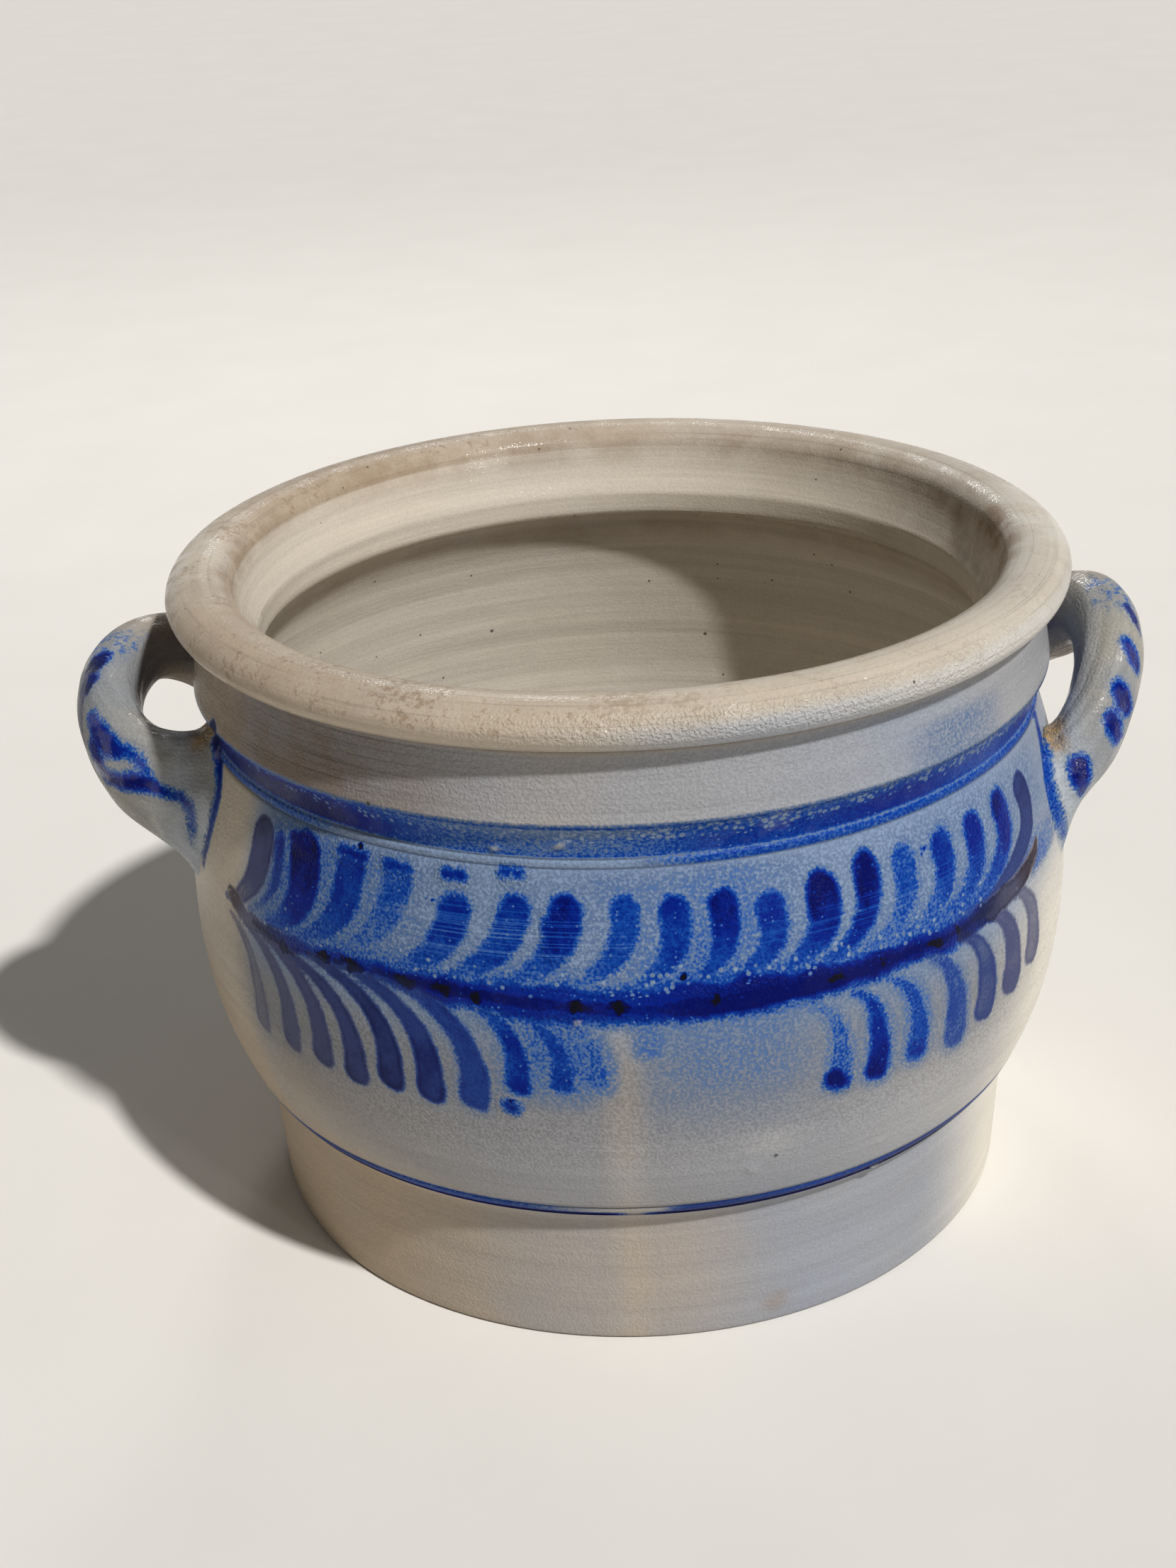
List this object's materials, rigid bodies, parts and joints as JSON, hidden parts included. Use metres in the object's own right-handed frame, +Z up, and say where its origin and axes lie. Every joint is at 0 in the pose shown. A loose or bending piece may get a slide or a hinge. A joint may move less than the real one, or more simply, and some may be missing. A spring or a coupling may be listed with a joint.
{
  "type": "stoneware crock",
  "caption": "Round salt-glazed stoneware crock with a rolled rim, a turned neck band, a straight foot and pulled ear handles on the shoulder, painted in cobalt.",
  "frame": {"origin": "centre of the standing face, under the pot's axis", "axes": "+Z up along the pot's axis, +X to the right handle, -Y to the painted front"},
  "size_m": [0.3014, 0.254, 0.1912],
  "materials": {
    "body_glaze": "soft, orange-peel salt glaze in blue-grey with cobalt painting, warm cream on the rim",
    "handle_glaze": "salt glaze in blue-grey with cobalt dabs, glossier on the strap"
  },
  "bodies": {
    "root": {"crock_body": "body_glaze", "handle_left": "handle_glaze", "handle_right": "handle_glaze"}
  },
  "joints": []
}
